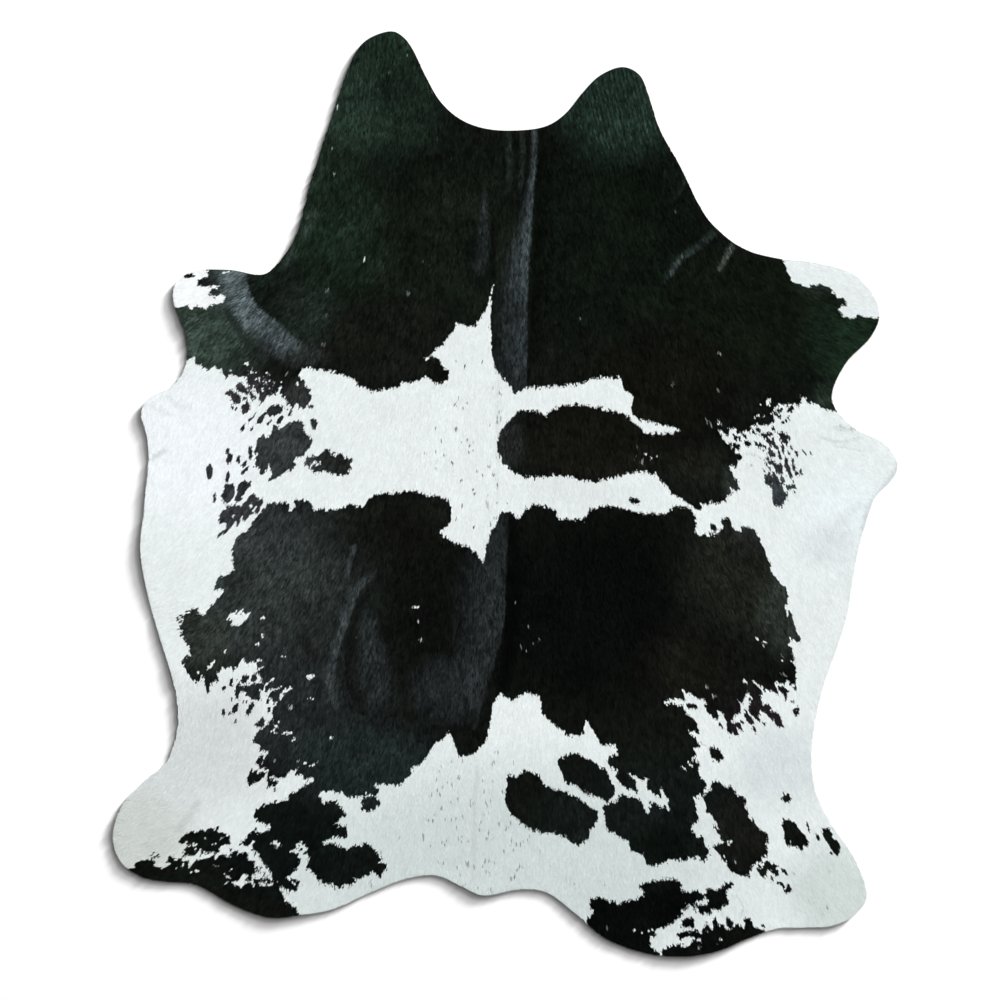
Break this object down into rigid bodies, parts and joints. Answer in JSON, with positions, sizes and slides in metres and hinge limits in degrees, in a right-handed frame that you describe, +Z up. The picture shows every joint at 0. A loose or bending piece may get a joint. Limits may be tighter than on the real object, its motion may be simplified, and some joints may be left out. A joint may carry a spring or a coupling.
{
  "type": "cowhide rug",
  "caption": "Flat floor rug made from one whole hide with short hair on, cut to its natural outline with ears, neck, legs and rump, lying in soft folds.",
  "frame": {"origin": "on the floor, under the middle of the hide's bounding box", "axes": "+Z up out of the floor; +Y from the tail to the head, along the longest side; +X to the right as the hide is seen from above"},
  "size_m": [1.8046, 2.1292, 0.0181],
  "materials": {
    "coat": "satin",
    "suede": "matte"
  },
  "bodies": {
    "root": {"hide": "coat"}
  },
  "joints": []
}
